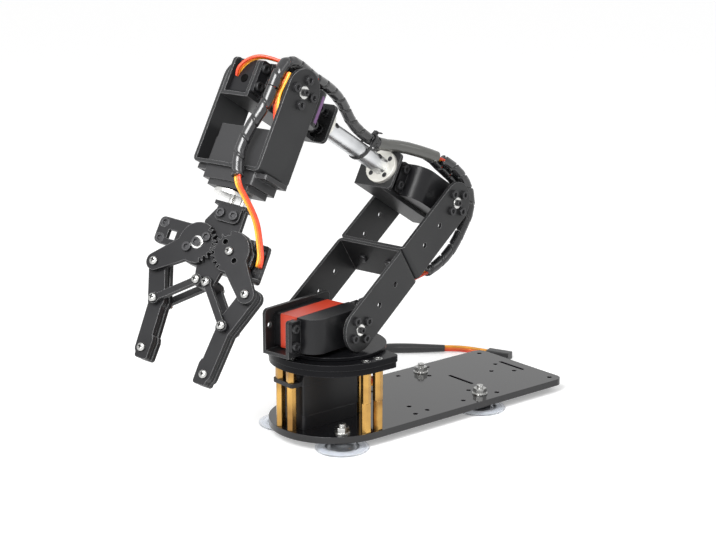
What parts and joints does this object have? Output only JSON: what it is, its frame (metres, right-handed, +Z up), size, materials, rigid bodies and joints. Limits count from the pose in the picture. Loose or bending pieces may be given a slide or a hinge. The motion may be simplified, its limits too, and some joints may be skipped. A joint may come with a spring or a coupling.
{
  "type": "robot arm",
  "caption": "Desktop servo robot arm on a suction-cup base plate with a turntable, sheet-metal links, tube forearm, rolling wrist and a geared parallel gripper.",
  "frame": {"origin": "on the turning axis of the base, at the table plane under the suction cups", "axes": "+X towards the round end of the base plate, +Y to the arm's left, +Z up"},
  "size_m": [0.3083, 0.1474, 0.225],
  "materials": {
    "black_acrylic": "gloss",
    "clear_cup": "gloss",
    "steel": "satin",
    "brass": "satin",
    "black_sheet": "matte",
    "aluminium": "satin",
    "servo_black": "matte",
    "red_band": "satin",
    "purple_band": "satin",
    "black_screws": "satin",
    "gripper_grey": "matte",
    "cable_black": "satin",
    "lead_orange": "satin"
  },
  "bodies": {
    "base": {"base_plate": "black_acrylic", "suction_cups": "clear_cup", "cup_studs": "steel", "standoffs": "brass", "standoff_screws": "steel", "deck_plates": "black_acrylic", "bearing_outer": "steel", "base_servo": "servo_black", "rear_sleeve": "cable_black", "rear_cores": "lead_orange", "rear_connector": "cable_black"},
    "turntable": {"turntable_disc": "black_acrylic", "bearing_inner_race": "steel", "base_horn": "aluminium", "shoulder_bracket": "black_sheet", "shoulder_servo_case": "servo_black", "shoulder_servo_band": "red_band", "shoulder_servo_screws": "black_screws", "shoulder_idler": "aluminium"},
    "upper_arm": {"lower_bracket": "black_sheet", "upper_bracket": "black_sheet", "arm_horns": "aluminium", "upper_arm_screws": "black_screws", "shoulder_harness": "cable_black", "arm_harness": "cable_black"},
    "forearm": {"elbow_bracket": "black_sheet", "elbow_servo": "servo_black", "forearm_idlers": "aluminium", "forearm_servo_screws": "black_screws", "tube_flanges": "aluminium", "forearm_tube": "aluminium", "tube_screws": "black_screws", "wrist_bracket": "black_sheet", "wrist_servo_case": "servo_black", "wrist_servo_band": "purple_band", "elbow_harness": "cable_black", "wrist_harness": "cable_black"},
    "wrist": {"wrist_fork": "black_sheet", "wrist_horn": "aluminium", "wrist_horn_screws": "black_screws", "roll_servo": "servo_black", "wrist_wrap": "cable_black", "gripper_lead": "lead_orange"},
    "gripper_base": {"roll_horn": "aluminium", "gripper_mount": "black_sheet", "gripper_frame": "gripper_grey", "gripper_servo": "servo_black", "gripper_screws": "black_screws", "link_pins": "steel"},
    "left_gear": {"left_jaw_gear": "gripper_grey", "gripper_horn": "aluminium", "gear_screws": "black_screws"},
    "right_gear": {"right_jaw_gear": "gripper_grey"},
    "left_link": {"left_links": "gripper_grey"},
    "right_link": {"right_links": "gripper_grey"},
    "left_finger": {"left_finger": "gripper_grey", "left_finger_screws": "steel"},
    "right_finger": {"right_finger": "gripper_grey", "right_finger_screws": "steel"}
  },
  "joints": [
    {"name": "yaw", "type": "hinge", "parent": "base", "child": "turntable", "pos_m": [0, 0, 0], "axis": [0, 0, 1], "range_deg": [-100, 80]},
    {"name": "shoulder", "type": "hinge", "parent": "turntable", "child": "upper_arm", "pos_m": [0.004, 0.00072, 0.06584], "axis": [0.1767, -0.9843, 0], "range_deg": [-140, 28], "deforming": ["shoulder_harness"]},
    {"name": "elbow", "type": "hinge", "parent": "upper_arm", "child": "forearm", "pos_m": [-0.08294, -0.01489, 0.12444], "axis": [-0.1767, 0.9843, 0], "range_deg": [-100, 20], "deforming": ["elbow_harness"]},
    {"name": "wrist_pitch", "type": "hinge", "parent": "forearm", "child": "wrist", "pos_m": [0.04863, 0.00873, 0.20485], "axis": [0.1767, -0.9843, 0], "range_deg": [-24, 120], "deforming": ["wrist_harness"]},
    {"name": "wrist_roll", "type": "hinge", "parent": "wrist", "child": "gripper_base", "pos_m": [0.04854, 0.00922, 0.20485], "axis": [0.4921, 0.0884, -0.866], "range_deg": [-90, 90], "deforming": ["gripper_lead"]},
    {"name": "grip", "type": "hinge", "parent": "gripper_base", "child": "left_gear", "pos_m": [0.09671, 0.00808, 0.12842], "axis": [0.7742, 0.4105, 0.4818], "range_deg": [-14, 34]},
    {"name": "right_gear_turn", "type": "hinge", "parent": "gripper_base", "child": "right_gear", "pos_m": [0.08875, 0.02624, 0.12575], "axis": [0.7742, 0.4105, 0.4818], "range_deg": [-34, 14]},
    {"name": "left_link_swing", "type": "hinge", "parent": "gripper_base", "child": "left_link", "pos_m": [0.10318, 0.0161, 0.1112], "axis": [0.7742, 0.4105, 0.4818], "range_deg": [-14, 34]},
    {"name": "right_link_swing", "type": "hinge", "parent": "gripper_base", "child": "right_link", "pos_m": [0.10079, 0.02154, 0.1104], "axis": [0.7742, 0.4105, 0.4818], "range_deg": [-34, 14]},
    {"name": "left_finger_swing", "type": "hinge", "parent": "left_gear", "child": "left_finger", "pos_m": [0.11254, -0.00901, 0.11756], "axis": [0.7742, 0.4105, 0.4818], "range_deg": [-34, 14]},
    {"name": "right_finger_swing", "type": "hinge", "parent": "right_gear", "child": "right_finger", "pos_m": [0.09153, 0.04331, 0.10674], "axis": [0.7742, 0.4105, 0.4818], "range_deg": [-14, 34]}
  ],
  "couplings": [
    {"joint": "right_gear_turn", "follows": "grip", "ratio": -1},
    {"joint": "left_link_swing", "follows": "grip", "ratio": 1},
    {"joint": "right_link_swing", "follows": "grip", "ratio": -1},
    {"joint": "left_finger_swing", "follows": "grip", "ratio": -1},
    {"joint": "right_finger_swing", "follows": "grip", "ratio": 1}
  ]
}
